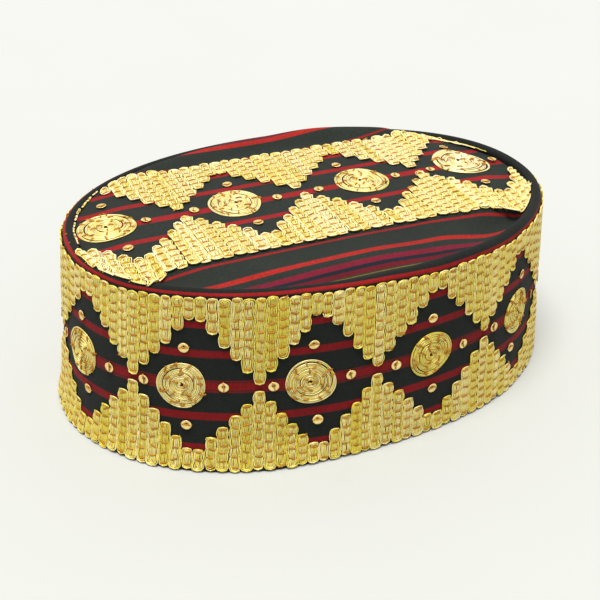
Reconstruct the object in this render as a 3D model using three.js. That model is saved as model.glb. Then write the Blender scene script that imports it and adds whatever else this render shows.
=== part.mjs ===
// Songkok: an oval, flat-topped cap of striped cotton, worked all over in couched gold thread.
// Millimetres, +Z up. +X runs along the head opening, -Y is the front, the origin is the base's middle.

import * as THREE from "three";
import { mergeVertices } from "three/addons/utils/BufferGeometryUtils.js";

// Side wall: outline at the rim, spread at the base, and the cloth rolled over the top edge
const RIM_LENGTH = 213;
const RIM_WIDTH = 142.4;
const RIM_HEIGHT = 79.2;
const BASE_SPREAD = 1.065; // base outline over rim outline
const OUTLINE_POWER = 2.11; // 2 is an ellipse, more is squarer
const WALL_THICKNESS = 3;
const HEM_ROUND = 0.8;
const ROLL_WIDTH = 4.4;
const ROLL_LIP_DEPTH = 3; // straight part of the turned-in edge
const ROLL_STEPS = 6;
const TURN_STEPS = 72;

// Crown: a soft sheet inside the roll. Heights are over the rim, by stations along the half length
const CROWN_THICKNESS = 1.8;
const SEAM_GAP = 0.4;
const CROWN_STATIONS = [
  { along: -1.0, back: 0.0, front: 0.0, seam: -2.7, fold: 1.5, lift: 0.0 },
  { along: -0.5, back: 0.0, front: 0.0, seam: -2.7, fold: 1.5, lift: 0.9 },
  { along: 0.0, back: 0.0, front: 0.0, seam: -2.7, fold: 2.0, lift: 3.2 },
  { along: 0.5, back: 0.0, front: -0.5, seam: -3.4, fold: 3.6, lift: 0.9 },
  { along: 0.8, back: 0.0, front: -1.9, seam: -4.5, fold: 2.7, lift: 0.0 },
  { along: 1.0, back: 0.0, front: -1.4, seam: -3.0, fold: 1.2, lift: 0.0 },
];
const CROWN_RINGS = [0.24, 0.46, 0.64, 0.78, 0.88, 0.95, 1];
const FRONT_LEVEL = { from: 10, to: -30 }; // where the back half's height passes into the front half's
const EDGE_START = 0.8; // share of the radius where the sheet starts down to its seam
const EDGE_START_BACK = 0.94;
const SEAM_BACK = -0.2; // the seam rides higher along the back
const SEAM_BACK_FROM = 15;
const SEAM_BACK_TO = 56;
const LIFT = { from: 18, to: 3 }; // the back swells up over this distance from its seam

// Gold fields: columns of laid thread, eleven to a repeat, stepped up to a point
const GOLD_GAP = 0.3;
const GOLD_THICKNESS = 1.2;
const COLUMNS_PER_REPEAT = 11;
const STEPS_TO_TIP = 5;
const WALL_CHART = { lowEdge: 0.5, lowValley: 9.7, topEdge: 77, topValley: 67.2, step: 5.45 };
const CROWN_CHART = { centre: 7.2, edge: 42, valley: 29.1, step: 5.27 };
const CROWN_TIPS = [-108, -56.8, -2.4, 55.3, 104];
const CROWN_GOLD_MARGIN = 2; // kept from the crown's seam

// Places round the side, as arcs at half height from the middle of the front
const WALL_REPEATS = 12;
const FRONT_REPEATS = [
  { rosette: -131, tip: -103 },
  { rosette: -83, tip: -53 },
  { rosette: -33, tip: -5 },
  { rosette: 20, tip: 49 },
  { rosette: 73, tip: 98 },
];

// Rosettes: coiled gold thread
const ROSETTE_SIDES = 14;
const ROSETTE_DOME = 0.5;
const WALL_ROSETTE = { radius: 10.6, height: 38.6 };
const CROWN_ROSETTE_RADIUS = 12;
const CROWN_ROSETTES = [-88.1, -32.3, 27.5, 79.2];

const clothMaterial = { color: 0x24262a, roughness: 0.9, metalness: 0 };
const goldMaterial = { color: 0xd8bd6a, roughness: 0.42, metalness: 0.75 };

const group = new THREE.Group();

function addPiece(name, geometry, material) {
  const mesh = new THREE.Mesh(geometry, new THREE.MeshStandardMaterial(material));
  mesh.name = name;
  group.add(mesh);
}

// The cap's oval: starts at the middle of the front and runs toward +X
class Oval extends THREE.Curve {
  constructor(length, width) {
    super();
    this.halfLength = length / 2;
    this.halfWidth = width / 2;
    this.arcLengthDivisions = 1440;
  }

  getPoint(t, target = new THREE.Vector3()) {
    const angle = 2 * Math.PI * t - Math.PI / 2;
    const bulge = (value) => Math.sign(value) * Math.abs(value) ** (2 / OUTLINE_POWER);
    return target.set(this.halfLength * bulge(Math.cos(angle)), this.halfWidth * bulge(Math.sin(angle)), 0);
  }

  // Share of the way from the middle to the outline
  radiusAt(x, y) {
    const lengthwise = Math.abs(x / this.halfLength) ** OUTLINE_POWER;
    const crosswise = Math.abs(y / this.halfWidth) ** OUTLINE_POWER;
    return (lengthwise + crosswise) ** (1 / OUTLINE_POWER);
  }

  // Half the width at a place along the length
  halfWidthAt(x) {
    const left = 1 - Math.min(1, Math.abs(x / this.halfLength)) ** OUTLINE_POWER;
    return this.halfWidth * left ** (1 / OUTLINE_POWER);
  }
}

const rim = new Oval(RIM_LENGTH, RIM_WIDTH);

function spreadAt(z) {
  return 1 + (BASE_SPREAD - 1) * (1 - z / RIM_HEIGHT);
}

const MIDDLE_PERIMETER = rim.getLength() * spreadAt(RIM_HEIGHT / 2);

// A place on the wall's face: turn is the share of the way round, out is the distance off the cloth
function wallPoint(turn, z, out) {
  const share = THREE.MathUtils.euclideanModulo(turn, 1);
  const point = rim.getPointAt(share).multiplyScalar(spreadAt(z));
  const tangent = rim.getTangentAt(share);
  return new THREE.Vector3(point.x + out * tangent.y, point.y - out * tangent.x, z);
}

// A lathe-made solid whose corners are moved to place(turn, profilePoint)
function reshapedLathe(profile, steps, place) {
  const lathe = new THREE.LatheGeometry(profile, steps);
  lathe.deleteAttribute("normal");
  lathe.deleteAttribute("uv");
  const corners = lathe.getAttribute("position");
  for (let step = 0; step <= steps; step += 1) {
    profile.forEach((point, index) => {
      const corner = place((step % steps) / steps, point);
      corners.setXYZ(step * profile.length + index, corner.x, corner.y, corner.z);
    });
  }
  return withNormals(lathe);
}

// Joins equal corners, drops the triangles that closed up on an axis and adds the normals
function withNormals(geometry) {
  const merged = mergeVertices(geometry, 1e-4);
  const index = merged.getIndex().array;
  const kept = [];
  for (let first = 0; first < index.length; first += 3) {
    const [a, b, c] = index.slice(first, first + 3);
    if (a !== b && b !== c && c !== a) {
      kept.push(a, b, c);
    }
  }
  merged.setIndex(kept);
  merged.computeVertexNormals();
  return merged;
}

// Side wall

function wallProfile() {
  const rollRadius = ROLL_WIDTH / 2;
  const rollHeight = RIM_HEIGHT - rollRadius;
  const lipDepth = ROLL_WIDTH - WALL_THICKNESS;
  const profile = [new THREE.Vector2(-HEM_ROUND, 0), new THREE.Vector2(0, HEM_ROUND)];
  for (let step = 0; step <= ROLL_STEPS; step += 1) {
    const angle = (Math.PI * step) / ROLL_STEPS;
    const out = rollRadius * (Math.cos(angle) - 1);
    profile.push(new THREE.Vector2(out, rollHeight + rollRadius * Math.sin(angle)));
  }
  profile.push(new THREE.Vector2(-ROLL_WIDTH, rollHeight - ROLL_LIP_DEPTH));
  profile.push(new THREE.Vector2(-WALL_THICKNESS, rollHeight - ROLL_LIP_DEPTH - lipDepth));
  profile.push(new THREE.Vector2(-WALL_THICKNESS, HEM_ROUND));
  profile.push(new THREE.Vector2(HEM_ROUND - WALL_THICKNESS, 0));
  profile.push(profile[0].clone());
  return profile;
}

const onProfile = (turn, point) => wallPoint(turn, point.y, point.x);
const wallSolid = reshapedLathe(wallProfile(), TURN_STEPS, onProfile);
addPiece("side_wall", wallSolid, clothMaterial);

// Crown panel

const seamInset = 2 * (ROLL_WIDTH + SEAM_GAP);
const crownOval = new Oval(RIM_LENGTH - seamInset, RIM_WIDTH - seamInset);

// A column of the station table, eased between the stations
function stationValue(column, along) {
  const next = CROWN_STATIONS.findIndex((station) => station.along >= along);
  if (next === 0) {
    return CROWN_STATIONS[0][column];
  }
  if (next < 0) {
    return CROWN_STATIONS[CROWN_STATIONS.length - 1][column];
  }
  const before = CROWN_STATIONS[next - 1];
  const after = CROWN_STATIONS[next];
  const share = THREE.MathUtils.smoothstep(along, before.along, after.along);
  return THREE.MathUtils.lerp(before[column], after[column], share);
}

// Height of the crown's upper face: the panel, its swell at the back, its front fold and its fall to the seam
function crownHeight(x, y) {
  const along = THREE.MathUtils.clamp(x / crownOval.halfLength, -1, 1);
  const radius = Math.min(1, crownOval.radiusAt(x, y));
  const halfWidth = crownOval.halfWidthAt(x);
  const backShare = THREE.MathUtils.smoothstep(y, SEAM_BACK_FROM, SEAM_BACK_TO);
  const frontShare = THREE.MathUtils.smoothstep(-y, -FRONT_LEVEL.from, -FRONT_LEVEL.to);
  const liftShare = THREE.MathUtils.smoothstep(y - halfWidth, -LIFT.from, -LIFT.to);
  const level = THREE.MathUtils.lerp(stationValue("back", along), stationValue("front", along), frontShare);
  const panel = level + stationValue("lift", along) * liftShare;
  const edgeStart = THREE.MathUtils.lerp(EDGE_START, EDGE_START_BACK, backShare);
  const edgeShare = THREE.MathUtils.smoothstep(radius, edgeStart, 1);
  const foldStart = CROWN_CHART.centre - CROWN_CHART.edge;
  const foldShare = (foldStart - y) / Math.max(1, halfWidth + foldStart);
  const fold = Math.sin(Math.PI * THREE.MathUtils.clamp(foldShare, 0, 1));
  const seam = THREE.MathUtils.lerp(stationValue("seam", along), SEAM_BACK, backShare);
  const sheet = THREE.MathUtils.lerp(panel, seam, edgeShare);
  return RIM_HEIGHT + sheet - stationValue("fold", along) * fold;
}

// Profile corners hold the share of the radius and the depth under the upper face
function crownProfile() {
  const top = CROWN_RINGS.map((share) => new THREE.Vector2(share, 0));
  const under = CROWN_RINGS.map((share) => new THREE.Vector2(share, CROWN_THICKNESS));
  const bottomMiddle = new THREE.Vector2(0, CROWN_THICKNESS);
  return [bottomMiddle, ...under, ...top.reverse(), new THREE.Vector2(0, 0)];
}

const crownSolid = reshapedLathe(crownProfile(), TURN_STEPS, (turn, point) => {
  const place = crownOval.getPointAt(turn).multiplyScalar(point.x);
  return place.setZ(crownHeight(place.x, place.y) - point.y);
});
addPiece("crown_panel", crownSolid, clothMaterial);

// Gold fields

// Steps toward the tip that each column of a repeat reaches, from the tip column round to the next tip
function columnReach(column) {
  return Math.max(0, STEPS_TO_TIP - Math.min(column, COLUMNS_PER_REPEAT - column));
}

// The lines between the columns, from the places of the tips: a tip column straddles its tip
function columnLines(tips) {
  const columns = [];
  for (let repeat = 0; repeat < tips.length - 1; repeat += 1) {
    const pitch = (tips[repeat + 1] - tips[repeat]) / COLUMNS_PER_REPEAT;
    for (let column = 0; column < COLUMNS_PER_REPEAT; column += 1) {
      columns.push({ line: tips[repeat] + (column + 0.5) * pitch, reach: columnReach(column + 1) });
    }
  }
  return columns;
}

// One closed body from columns { from, to, low, high }: place(line, along, depth) sets each corner,
// rows are the bends along a column, and a closed chart runs on from its last column into its first
function chartSolid(columns, rows, closed, place) {
  const corners = [];
  const bottom = GOLD_GAP;
  const top = GOLD_GAP + GOLD_THICKNESS;
  const triangle = (...points) => points.forEach((point) => corners.push(...place(...point).toArray()));
  const quad = (a, b, c, d) => {
    triangle(a, b, c);
    triangle(a, c, d);
  };
  const neighbour = (index) => {
    if (closed) {
      return columns[(index + columns.length) % columns.length];
    }
    return columns[index];
  };
  const breaks = (column, other) => {
    const ends = other ? [other.low, other.high] : [];
    const inside = [...rows, ...ends].filter((value) => value > column.low && value < column.high);
    return [...new Set([column.low, ...inside, column.high])].sort((a, b) => a - b);
  };

  columns.forEach((column, index) => {
    const { from, to, low, high } = column;
    const before = neighbour(index - 1);
    const after = neighbour(index + 1);
    const left = breaks(column, before);
    const right = breaks(column, after);

    // Upper and lower faces, zipped between the column's two sides
    let i = 0;
    let j = 0;
    while (i < left.length - 1 || j < right.length - 1) {
      const onRight = i === left.length - 1 || (j < right.length - 1 && right[j + 1] <= left[i + 1]);
      const third = onRight ? [to, right[j + 1]] : [from, left[i + 1]];
      triangle([from, left[i], top], [to, right[j], top], [...third, top]);
      triangle([from, left[i], bottom], [...third, bottom], [to, right[j], bottom]);
      if (onRight) {
        j += 1;
      } else {
        i += 1;
      }
    }

    // The two ends, then whatever stands beyond the neighbours on either side
    quad([from, high, bottom], [from, high, top], [to, high, top], [to, high, bottom]);
    quad([from, low, bottom], [to, low, bottom], [to, low, top], [from, low, top]);
    const bare = (other, a, b) => !other || (a + b) / 2 < other.low || (a + b) / 2 > other.high;
    for (let k = 0; k < right.length - 1; k += 1) {
      const [a, b] = [right[k], right[k + 1]];
      if (bare(after, a, b)) {
        quad([to, a, bottom], [to, b, bottom], [to, b, top], [to, a, top]);
      }
    }
    for (let k = 0; k < left.length - 1; k += 1) {
      const [a, b] = [left[k], left[k + 1]];
      if (bare(before, a, b)) {
        quad([from, a, bottom], [from, a, top], [from, b, top], [from, b, bottom]);
      }
    }
  });

  const geometry = new THREE.BufferGeometry();
  geometry.setAttribute("position", new THREE.Float32BufferAttribute(corners, 3));
  return withNormals(geometry);
}

// The front's places as measured, and the rest of the way round in even steps
function placesRound(column) {
  const front = FRONT_REPEATS.map((repeat) => repeat[column]);
  const last = front[front.length - 1];
  const hidden = WALL_REPEATS - front.length;
  const pitch = (front[0] + MIDDLE_PERIMETER - last) / (hidden + 1);
  const rest = Array.from({ length: hidden }, (_, index) => last + (index + 1) * pitch);
  return [...front, ...rest];
}

const wallTips = placesRound("tip");
const wallLines = columnLines([...wallTips, wallTips[0] + MIDDLE_PERIMETER]);
const wallEnds = [...wallLines.slice(1).map(({ line }) => line), wallLines[0].line + MIDDLE_PERIMETER];

function wallColumns(rangeOf) {
  return wallLines.map(({ line, reach }, index) => ({ from: line, to: wallEnds[index], ...rangeOf(reach) }));
}

const onWall = (arc, z, out) => wallPoint(arc / MIDDLE_PERIMETER, z, out);
const { lowEdge, lowValley, topEdge, topValley, step: wallStep } = WALL_CHART;
const lowerColumns = wallColumns((reach) => ({ low: lowEdge, high: lowValley + reach * wallStep }));
const upperColumns = wallColumns((reach) => ({ low: topValley - reach * wallStep, high: topEdge }));
addPiece("wall_gold_lower", chartSolid(lowerColumns, [], true, onWall), goldMaterial);
addPiece("wall_gold_upper", chartSolid(upperColumns, [], true, onWall), goldMaterial);

const crownLines = columnLines(CROWN_TIPS);
const onCrown = (x, y, depth) => new THREE.Vector3(x, y, crownHeight(x, y) + depth);

// Columns of one crown field, side -1 at the front and +1 at the back, trimmed to the oval
function crownColumns(side) {
  const columns = [];
  for (let index = 0; index < crownLines.length - 1; index += 1) {
    const from = crownLines[index].line;
    const to = crownLines[index + 1].line;
    const room = crownOval.halfWidthAt(Math.max(Math.abs(from), Math.abs(to))) - CROWN_GOLD_MARGIN;
    const inner = CROWN_CHART.valley - crownLines[index].reach * CROWN_CHART.step;
    const outer = Math.min(CROWN_CHART.edge, room - side * CROWN_CHART.centre);
    if (outer - inner > CROWN_CHART.step / 2) {
      const ends = [CROWN_CHART.centre + side * inner, CROWN_CHART.centre + side * outer];
      columns.push({ from, to, low: Math.min(...ends), high: Math.max(...ends) });
    }
  }
  return columns;
}

function crownRows(side) {
  const rows = [];
  for (let reach = CROWN_CHART.edge; reach > 0; reach -= CROWN_CHART.step) {
    rows.push(CROWN_CHART.centre + side * reach);
  }
  return rows;
}

addPiece("crown_gold_front", chartSolid(crownColumns(-1), crownRows(-1), false, onCrown), goldMaterial);
addPiece("crown_gold_back", chartSolid(crownColumns(1), crownRows(1), false, onCrown), goldMaterial);

// Rosettes

// Profile corners hold the distance from the rosette's middle and the distance off the cloth
function rosetteSolid(radius, place) {
  const edge = GOLD_GAP + GOLD_THICKNESS - ROSETTE_DOME;
  const profile = [
    new THREE.Vector2(0, GOLD_GAP),
    new THREE.Vector2(radius / 2, GOLD_GAP),
    new THREE.Vector2(radius, GOLD_GAP),
    new THREE.Vector2(radius, edge),
    new THREE.Vector2(radius / 2, edge + ROSETTE_DOME),
    new THREE.Vector2(0, edge + ROSETTE_DOME),
  ];
  return reshapedLathe(profile, ROSETTE_SIDES, (turn, point) => {
    const angle = 2 * Math.PI * turn;
    return place(point.x * Math.cos(angle), point.x * Math.sin(angle), point.y);
  });
}

placesRound("rosette").forEach((arc, index) => {
  const solid = rosetteSolid(WALL_ROSETTE.radius, (side, rise, out) =>
    onWall(arc + side, WALL_ROSETTE.height + rise, out),
  );
  addPiece(`wall_rosette_${String(index + 1).padStart(2, "0")}`, solid, goldMaterial);
});

CROWN_ROSETTES.forEach((x, index) => {
  const solid = rosetteSolid(CROWN_ROSETTE_RADIUS, (side, back, up) =>
    onCrown(x + side, CROWN_CHART.centre + back, up),
  );
  addPiece(`crown_rosette_${index + 1}`, solid, goldMaterial);
});

export default group;
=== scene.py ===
import math

import bmesh
import bpy
import numpy as np
from mathutils import Matrix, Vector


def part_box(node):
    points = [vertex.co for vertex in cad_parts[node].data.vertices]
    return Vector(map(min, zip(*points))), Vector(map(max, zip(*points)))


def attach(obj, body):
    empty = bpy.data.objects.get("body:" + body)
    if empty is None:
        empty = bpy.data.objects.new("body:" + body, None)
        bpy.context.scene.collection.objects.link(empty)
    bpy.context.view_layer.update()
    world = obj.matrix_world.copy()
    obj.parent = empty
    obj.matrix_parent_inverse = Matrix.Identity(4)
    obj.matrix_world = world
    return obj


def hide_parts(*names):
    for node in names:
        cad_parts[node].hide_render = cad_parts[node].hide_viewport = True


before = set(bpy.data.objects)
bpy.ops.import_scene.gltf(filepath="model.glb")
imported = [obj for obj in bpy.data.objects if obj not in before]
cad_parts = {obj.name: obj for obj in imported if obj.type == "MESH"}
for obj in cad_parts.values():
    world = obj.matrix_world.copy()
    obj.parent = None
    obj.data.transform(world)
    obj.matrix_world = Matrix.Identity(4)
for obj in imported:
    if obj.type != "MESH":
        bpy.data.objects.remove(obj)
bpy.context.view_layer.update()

# Side wall: the stiff oval band that stands round the head, covered in plain-woven black cotton.
# Dark red stripes run round it in the weave. The cloth is rolled over the top edge and turned in,
# and the hem stands out a little toward the left of the front.

RIM_LENGTH = 0.213
RIM_WIDTH = 0.1424
RIM_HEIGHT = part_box("side_wall")[1].z
BASE_SPREAD = 1.065
OUTLINE_POWER = 2.11
OUTLINE_SAMPLES = 4001
OUTLINE_SWELL = {"turn": 0.105, "reach": 0.045, "out": 0.0008}
WALL_THICKNESS = 0.003
HEM_ROUND = 0.0008
ROLL_WIDTH = 0.0044
ROLL_RADIUS = ROLL_WIDTH / 2
ROLL_FOLLOWED = 0.95 * ROLL_RADIUS
ROLL_LIP_DEPTH = 0.003
ARC_STEPS = 12
WALL_ROWS = 10
TURN_STEPS = 288
YARN_PITCH = 0.00055

# Woven stripes up the outside of the wall and over the roll: each row ends at a height along the cloth
COTTON_BLACK = (0.0074, 0.0089, 0.0074, 1)
WALL_RED = (0.1350, 0.0034, 0.0050, 1)
RIM_RED = (0.2050, 0.0065, 0.0070, 1)
RIM_RED_FROM = 0.0778
RIM_RED_TO = 0.0803
WALL_STRIPES = [
    {"to": 0.0096, "colour": COTTON_BLACK},
    {"to": 0.0121, "colour": WALL_RED},
    {"to": 0.0233, "colour": COTTON_BLACK},
    {"to": 0.0268, "colour": WALL_RED},
    {"to": 0.0363, "colour": COTTON_BLACK},
    {"to": 0.0368, "colour": WALL_RED},
    {"to": 0.0372, "colour": COTTON_BLACK},
    {"to": 0.0407, "colour": WALL_RED},
    {"to": 0.0411, "colour": COTTON_BLACK},
    {"to": 0.0416, "colour": WALL_RED},
    {"to": 0.0516, "colour": COTTON_BLACK},
    {"to": 0.0547, "colour": WALL_RED},
    {"to": 0.0642, "colour": COTTON_BLACK},
    {"to": 0.0670, "colour": WALL_RED},
    {"to": RIM_RED_FROM, "colour": COTTON_BLACK},
    {"to": RIM_RED_TO, "colour": RIM_RED},
    {"to": 0.1000, "colour": COTTON_BLACK},
]
STRIPE_EDGE = 0.00012

# How the rim was worked, by the share of the way round from the middle of the front: the height along
# the cloth where the gold ends and where the red edge stripe lies
STRIPES_LEVEL_TO = 0.070
RIM_RED_EASE = 0.004
CLOTH_LENGTH = 0.3
RIM_PLACES = [
    {"turn": -0.50, "gold": 0.0768, "red_from": 0.0780, "red_to": 0.0796},
    {"turn": -0.36, "gold": 0.0764, "red_from": 0.0780, "red_to": 0.0802},
    {"turn": -0.30, "gold": 0.0764, "red_from": 0.0771, "red_to": 0.0799},
    {"turn": -0.25, "gold": 0.0766, "red_from": 0.0770, "red_to": 0.0795},
    {"turn": -0.22, "gold": 0.0767, "red_from": 0.0772, "red_to": 0.0785},
    {"turn": -0.18, "gold": 0.0765, "red_from": 0.0772, "red_to": 0.0782},
    {"turn": -0.14, "gold": 0.0772, "red_from": 0.0779, "red_to": 0.0789},
    {"turn": -0.05, "gold": 0.0776, "red_from": 0.0783, "red_to": 0.0797},
    {"turn": 0.00, "gold": 0.0770, "red_from": 0.0775, "red_to": 0.0792},
    {"turn": 0.04, "gold": 0.0760, "red_from": 0.0763, "red_to": 0.0779},
    {"turn": 0.11, "gold": 0.0759, "red_from": 0.0763, "red_to": 0.0776},
    {"turn": 0.16, "gold": 0.0769, "red_from": 0.0768, "red_to": 0.0778},
    {"turn": 0.50, "gold": 0.0768, "red_from": 0.0780, "red_to": 0.0796},
]

# How far the hem stands out at the foot, fading to nothing at the flare's height
FLARE_HEIGHT = 0.016
HEM_FLARES = [
    {"turn": -0.40, "out": 0.0},
    {"turn": -0.30, "out": 0.0014},
    {"turn": -0.24, "out": 0.0022},
    {"turn": -0.20, "out": 0.0018},
    {"turn": -0.16, "out": 0.0028},
    {"turn": -0.12, "out": 0.0031},
    {"turn": -0.08, "out": 0.0030},
    {"turn": -0.055, "out": 0.0017},
    {"turn": -0.03, "out": 0.0007},
    {"turn": 0.02, "out": 0.0},
]


def bulge(value):
    """A sine or cosine made fuller, for an outline fuller than an ellipse."""
    return np.sign(value) * np.abs(value) ** (2 / OUTLINE_POWER)


class Oval:
    """The cap's outline in plan, measured by the share of the way round from the middle of the front."""

    def __init__(self, length, width):
        self.half_length = length / 2
        self.half_width = width / 2
        angle = np.linspace(-np.pi / 2, 1.5 * np.pi, OUTLINE_SAMPLES)
        self.x = self.half_length * bulge(np.cos(angle))
        self.y = self.half_width * bulge(np.sin(angle))
        self.measure()
        turn = self.arc / self.perimeter
        normal_x, normal_y = self.outward(turn)
        swell = np.exp(-(((turn - OUTLINE_SWELL["turn"]) / OUTLINE_SWELL["reach"]) ** 2))
        self.x = self.x + OUTLINE_SWELL["out"] * swell * normal_x
        self.y = self.y + OUTLINE_SWELL["out"] * swell * normal_y
        self.measure()

    def measure(self):
        steps = np.hypot(np.diff(self.x), np.diff(self.y))
        self.arc = np.concatenate([[0], np.cumsum(steps)])
        self.perimeter = self.arc[-1]

    def point(self, turn):
        arc = np.mod(turn, 1) * self.perimeter
        return np.interp(arc, self.arc, self.x), np.interp(arc, self.arc, self.y)

    def outward(self, turn):
        step = 1e-3
        ahead_x, ahead_y = self.point(np.asarray(turn) + step)
        behind_x, behind_y = self.point(np.asarray(turn) - step)
        length = np.hypot(ahead_x - behind_x, ahead_y - behind_y)
        return (ahead_y - behind_y) / length, (behind_x - ahead_x) / length

    def radius(self, x, y):
        lengthwise = np.abs(x / self.half_length) ** OUTLINE_POWER
        crosswise = np.abs(y / self.half_width) ** OUTLINE_POWER
        return (lengthwise + crosswise) ** (1 / OUTLINE_POWER)

    def inset(self, x, y):
        """About how far inside the outline a place near it lies."""
        share = np.maximum(self.radius(x, y), 1e-6)
        lengthwise = np.abs(x / self.half_length / share) ** (OUTLINE_POWER - 1) / self.half_length
        crosswise = np.abs(y / self.half_width / share) ** (OUTLINE_POWER - 1) / self.half_width
        return (1 - share) / np.hypot(lengthwise, crosswise)

    def half_width_at(self, x):
        left = 1 - np.minimum(1, np.abs(x / self.half_length)) ** OUTLINE_POWER
        return self.half_width * left ** (1 / OUTLINE_POWER)


rim = Oval(RIM_LENGTH, RIM_WIDTH)


def ease(value, start, end):
    """A soft step from 0 at the start to 1 at the end."""
    share = np.clip((value - start) / (end - start), 0, 1)
    return share * share * (3 - 2 * share)


def spread_at(z):
    """How much wider than the rim the wall is at a height."""
    return 1 + (BASE_SPREAD - 1) * (1 - z / RIM_HEIGHT)


MIDDLE_PERIMETER = rim.perimeter * spread_at(RIM_HEIGHT / 2)


def round_value(table, column, turn):
    """A column of a table that goes round the wall, at a share of the way round."""
    signed = (np.asarray(turn) + 0.5) % 1 - 0.5
    return np.interp(signed, [place["turn"] for place in table], [place[column] for place in table])


def wall_point(turn, z, out):
    """Places on the wall's face, a distance out from the cloth, as rows of x, y, z."""
    x, y = rim.point(turn)
    normal_x, normal_y = rim.outward(turn)
    spread = spread_at(z)
    flare = round_value(HEM_FLARES, "out", turn)
    out = out + flare * np.clip(1 - z / FLARE_HEIGHT, 0, 1) ** 2
    return np.stack([x * spread + out * normal_x, y * spread + out * normal_y, z + 0 * x], axis=-1)


def on_wall(arc, z, out):
    """Places on the wall's face, following the roll where it curves in."""
    over = np.clip(z - (RIM_HEIGHT - ROLL_RADIUS), 0, ROLL_FOLLOWED)
    lean = ROLL_RADIUS - np.sqrt(ROLL_RADIUS**2 - over * over)
    return wall_point(np.asarray(arc) / MIDDLE_PERIMETER, np.asarray(z), out - lean)


def quarter_turns(centre, radius, first, quarters):
    """An arc of the wall's section as out and height pairs."""
    angle = np.radians(first) + np.radians(90 * quarters) * np.linspace(0, 1, ARC_STEPS * quarters + 1)
    return [(centre[0] + radius * math.cos(a), centre[1] + radius * math.sin(a)) for a in angle]


def wall_section():
    """The wall's closed section, from the outer foot over the roll and down the inside."""
    roll_middle = RIM_HEIGHT - ROLL_RADIUS
    lip_foot = roll_middle - ROLL_LIP_DEPTH
    rows = np.linspace(HEM_ROUND, roll_middle, WALL_ROWS + 1)[1:-1]
    inner_rows = np.linspace(lip_foot - ROLL_WIDTH + WALL_THICKNESS, HEM_ROUND, WALL_ROWS)
    section = quarter_turns((-HEM_ROUND, HEM_ROUND), HEM_ROUND, -90, 1)
    section += [(0, z) for z in rows]
    section += quarter_turns((-ROLL_RADIUS, roll_middle), ROLL_RADIUS, 0, 2)
    section += [(-ROLL_WIDTH, lip_foot)]
    section += [(-WALL_THICKNESS, z) for z in inner_rows]
    section += quarter_turns((HEM_ROUND - WALL_THICKNESS, HEM_ROUND), HEM_ROUND, 180, 1)[1:]
    return section


def link_object(name, mesh, material):
    """A piece of the cap in the scene, smooth and with its one material."""
    made = bpy.data.objects.new(name, mesh)
    bpy.context.scene.collection.objects.link(made)
    mesh.materials.append(material)
    mesh.shade_smooth()
    return made


def add_node(tree, kind, inputs=None, **settings):
    """A shader node: settings are its options, inputs are values or the sockets that feed it."""
    made = tree.nodes.new(kind)
    for name, value in settings.items():
        setattr(made, name, value)
    for key, value in (inputs or {}).items():
        if isinstance(value, bpy.types.NodeSocket):
            tree.links.new(value, made.inputs[key])
        else:
            made.inputs[key].default_value = value
    return made


def math_node(tree, operation, *values):
    return add_node(tree, "ShaderNodeMath", dict(enumerate(values)), operation=operation).outputs[0]


def mix_colours(tree, share, first, second):
    """One colour turning into another by a share."""
    mixed = {"Factor": share, "A": first, "B": second}
    return add_node(tree, "ShaderNodeMix", mixed, data_type="RGBA").outputs["Result"]


def new_material(name):
    """A new material, its node tree and its Principled shader."""
    made = bpy.data.materials.new(name)
    made.use_nodes = True
    return made, made.node_tree, made.node_tree.nodes["Principled BSDF"]


def stripe_colours(tree, distance, stripes):
    """Colours the woven stripes by a distance across them, with a narrow soft edge between two."""
    span = stripes[-1]["to"]
    share = math_node(tree, "DIVIDE", distance, span)
    ramp = add_node(tree, "ShaderNodeValToRGB", {"Fac": share})
    edges = []
    for stripe, following in zip(stripes, stripes[1:]):
        edges.append((stripe["to"] - STRIPE_EDGE, stripe["colour"]))
        edges.append((stripe["to"] + STRIPE_EDGE, following["colour"]))
    stops = ramp.color_ramp.elements
    stops.remove(stops[1])
    stops[0].position = edges[0][0] / span
    stops[0].color = edges[0][1]
    for place, colour in edges[1:]:
        stops.new(place / span).color = colour
    return ramp.outputs["Color"]


def cotton_finish(tree, shader, colour, across, along, place):
    """Plain weave: crossing yarns as bump, slubs and a dusty unevenness in the dye, and a cotton sheen."""
    waves = []
    for direction in (across, along):
        turns = math_node(tree, "MULTIPLY", direction, 2 * math.pi / YARN_PITCH)
        waves.append(math_node(tree, "SINE", turns))
    weave = math_node(tree, "MULTIPLY", *waves)
    slubs = add_node(tree, "ShaderNodeTexNoise", {"Vector": place, "Scale": 900, "Detail": 3})
    dust = add_node(tree, "ShaderNodeTexNoise", {"Vector": place, "Scale": 45, "Detail": 4})
    shade = add_node(
        tree, "ShaderNodeMapRange", {"Value": slubs.outputs["Fac"], "To Min": 0.55, "To Max": 1.5}
    )
    worn = add_node(
        tree, "ShaderNodeMapRange", {"Value": dust.outputs["Fac"], "To Min": 0.75, "To Max": 1.3}
    )
    yarn = math_node(tree, "MULTIPLY_ADD", weave, 0.28, 1.0)
    dye = math_node(tree, "MULTIPLY", shade.outputs[0], worn.outputs[0])
    value = math_node(tree, "MULTIPLY", dye, yarn)
    dyed = add_node(tree, "ShaderNodeHueSaturation", {"Color": colour, "Value": value})
    height = math_node(tree, "MULTIPLY_ADD", slubs.outputs["Fac"], 0.6, weave)
    bump = add_node(tree, "ShaderNodeBump", {"Height": height, "Strength": 0.35, "Distance": 0.00015})
    tree.links.new(dyed.outputs["Color"], shader.inputs["Base Color"])
    tree.links.new(bump.outputs["Normal"], shader.inputs["Normal"])
    shader.inputs["Roughness"].default_value = 0.88
    shader.inputs["Specular IOR Level"].default_value = 0.12
    shader.inputs["Sheen Weight"].default_value = 0.03
    shader.inputs["Sheen Roughness"].default_value = 0.5


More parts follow.
